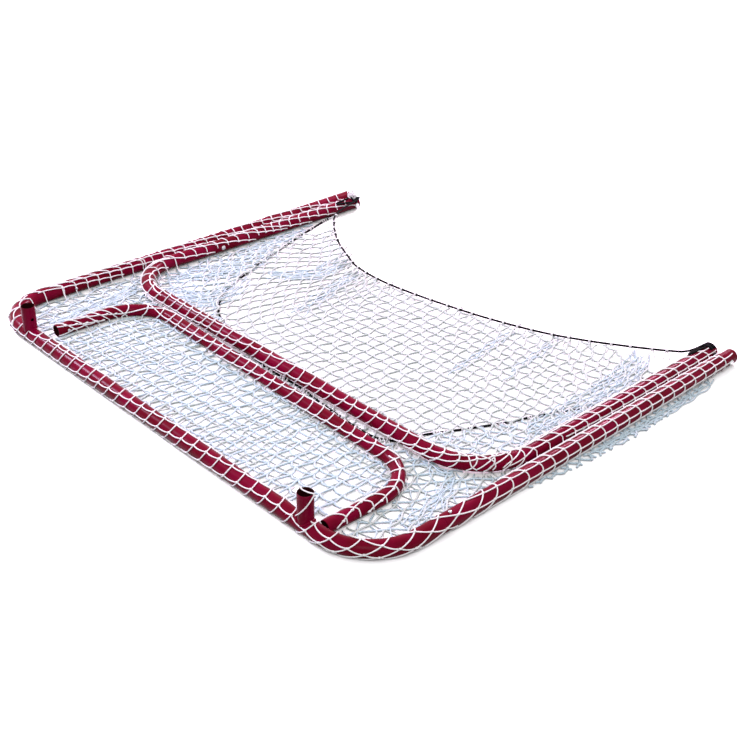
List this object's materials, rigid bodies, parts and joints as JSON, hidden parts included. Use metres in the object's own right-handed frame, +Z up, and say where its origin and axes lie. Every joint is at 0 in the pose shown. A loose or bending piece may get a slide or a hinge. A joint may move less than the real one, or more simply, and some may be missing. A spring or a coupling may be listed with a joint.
{
  "type": "folding ice hockey goal",
  "caption": "Tube-frame ice hockey goal folded flat: base frame hinged at the posts' feet, loose top shelf, open shelf sockets, snap buttons, net and elastic cords.",
  "frame": {"origin": "on the floor under the middle of the folded goal's box", "axes": "+X along the crossbar, +Y from the crossbar to the posts' feet, +Z up off the floor, which is rearwards on the standing goal"},
  "size_m": [1.457, 1.267, 0.098],
  "materials": {
    "crimson_powder_coat": "gloss crimson powder coat on steel tube",
    "zinc_plated_steel": "bright zinc plate",
    "black_plastic": "matte black moulded plastic",
    "white_twine": "knotted white twine",
    "black_elastic": "braided black elastic cord"
  },
  "bodies": {
    "front_frame": {"crossbar": "crimson_powder_coat", "left_post": "crimson_powder_coat", "right_post": "crimson_powder_coat", "left_shelf_socket": "crimson_powder_coat", "right_shelf_socket": "crimson_powder_coat", "left_hinge_bolt": "zinc_plated_steel", "right_hinge_bolt": "zinc_plated_steel", "left_hinge_nut": "zinc_plated_steel", "right_hinge_nut": "zinc_plated_steel", "left_hinge_spacer": "black_plastic", "right_hinge_spacer": "black_plastic", "left_foot_plug": "black_plastic", "right_foot_plug": "black_plastic", "main_net": "white_twine"},
    "base_frame": {"base_bar": "crimson_powder_coat", "left_base_arm": "crimson_powder_coat", "right_base_arm": "crimson_powder_coat", "left_arm_joint_bolt": "zinc_plated_steel", "right_arm_joint_bolt": "zinc_plated_steel", "left_arm_joint_nut": "zinc_plated_steel", "right_arm_joint_nut": "zinc_plated_steel", "left_arm_end_plug": "black_plastic", "right_arm_end_plug": "black_plastic", "base_net": "white_twine", "rim_cord": "black_elastic", "inner_cord": "black_elastic"},
    "shelf": {"top_shelf": "crimson_powder_coat"},
    "left_post_button": {"left_post_snap_button": "zinc_plated_steel"},
    "right_post_button": {"right_post_snap_button": "zinc_plated_steel"},
    "left_shelf_button": {"left_shelf_snap_button": "zinc_plated_steel"},
    "right_shelf_button": {"right_shelf_snap_button": "zinc_plated_steel"}
  },
  "joints": [
    {"name": "base_fold", "type": "hinge", "parent": "front_frame", "child": "base_frame", "pos_m": [0, 0.6032, 0.019], "axis": [-1, 0, 0], "range_deg": [0, 90], "deforming": ["main_net"]},
    {"name": "shelf_swing", "type": "hinge", "parent": "front_frame", "child": "shelf", "pos_m": [0.0236, -0.55808, 0.0312], "axis": [0.9996, -0.0295, 0], "range_deg": [0, 90]},
    {"name": "left_post_button_press", "type": "slide", "parent": "front_frame", "child": "left_post_button", "axis": [-1, 0, 0], "range_m": [0, 0.004], "stiffness_N_per_m": 1500, "springref_m": -0.002},
    {"name": "right_post_button_press", "type": "slide", "parent": "front_frame", "child": "right_post_button", "axis": [0, 0, -1], "range_m": [0, 0.004], "stiffness_N_per_m": 1500, "springref_m": -0.002},
    {"name": "left_shelf_button_press", "type": "slide", "parent": "shelf", "child": "left_shelf_button", "axis": [-0.9996, 0.0295, 0], "range_m": [0, 0.004], "stiffness_N_per_m": 1500, "springref_m": -0.002},
    {"name": "right_shelf_button_press", "type": "slide", "parent": "shelf", "child": "right_shelf_button", "axis": [0.9996, -0.0295, 0], "range_m": [0, 0.004], "stiffness_N_per_m": 1500, "springref_m": -0.002}
  ]
}
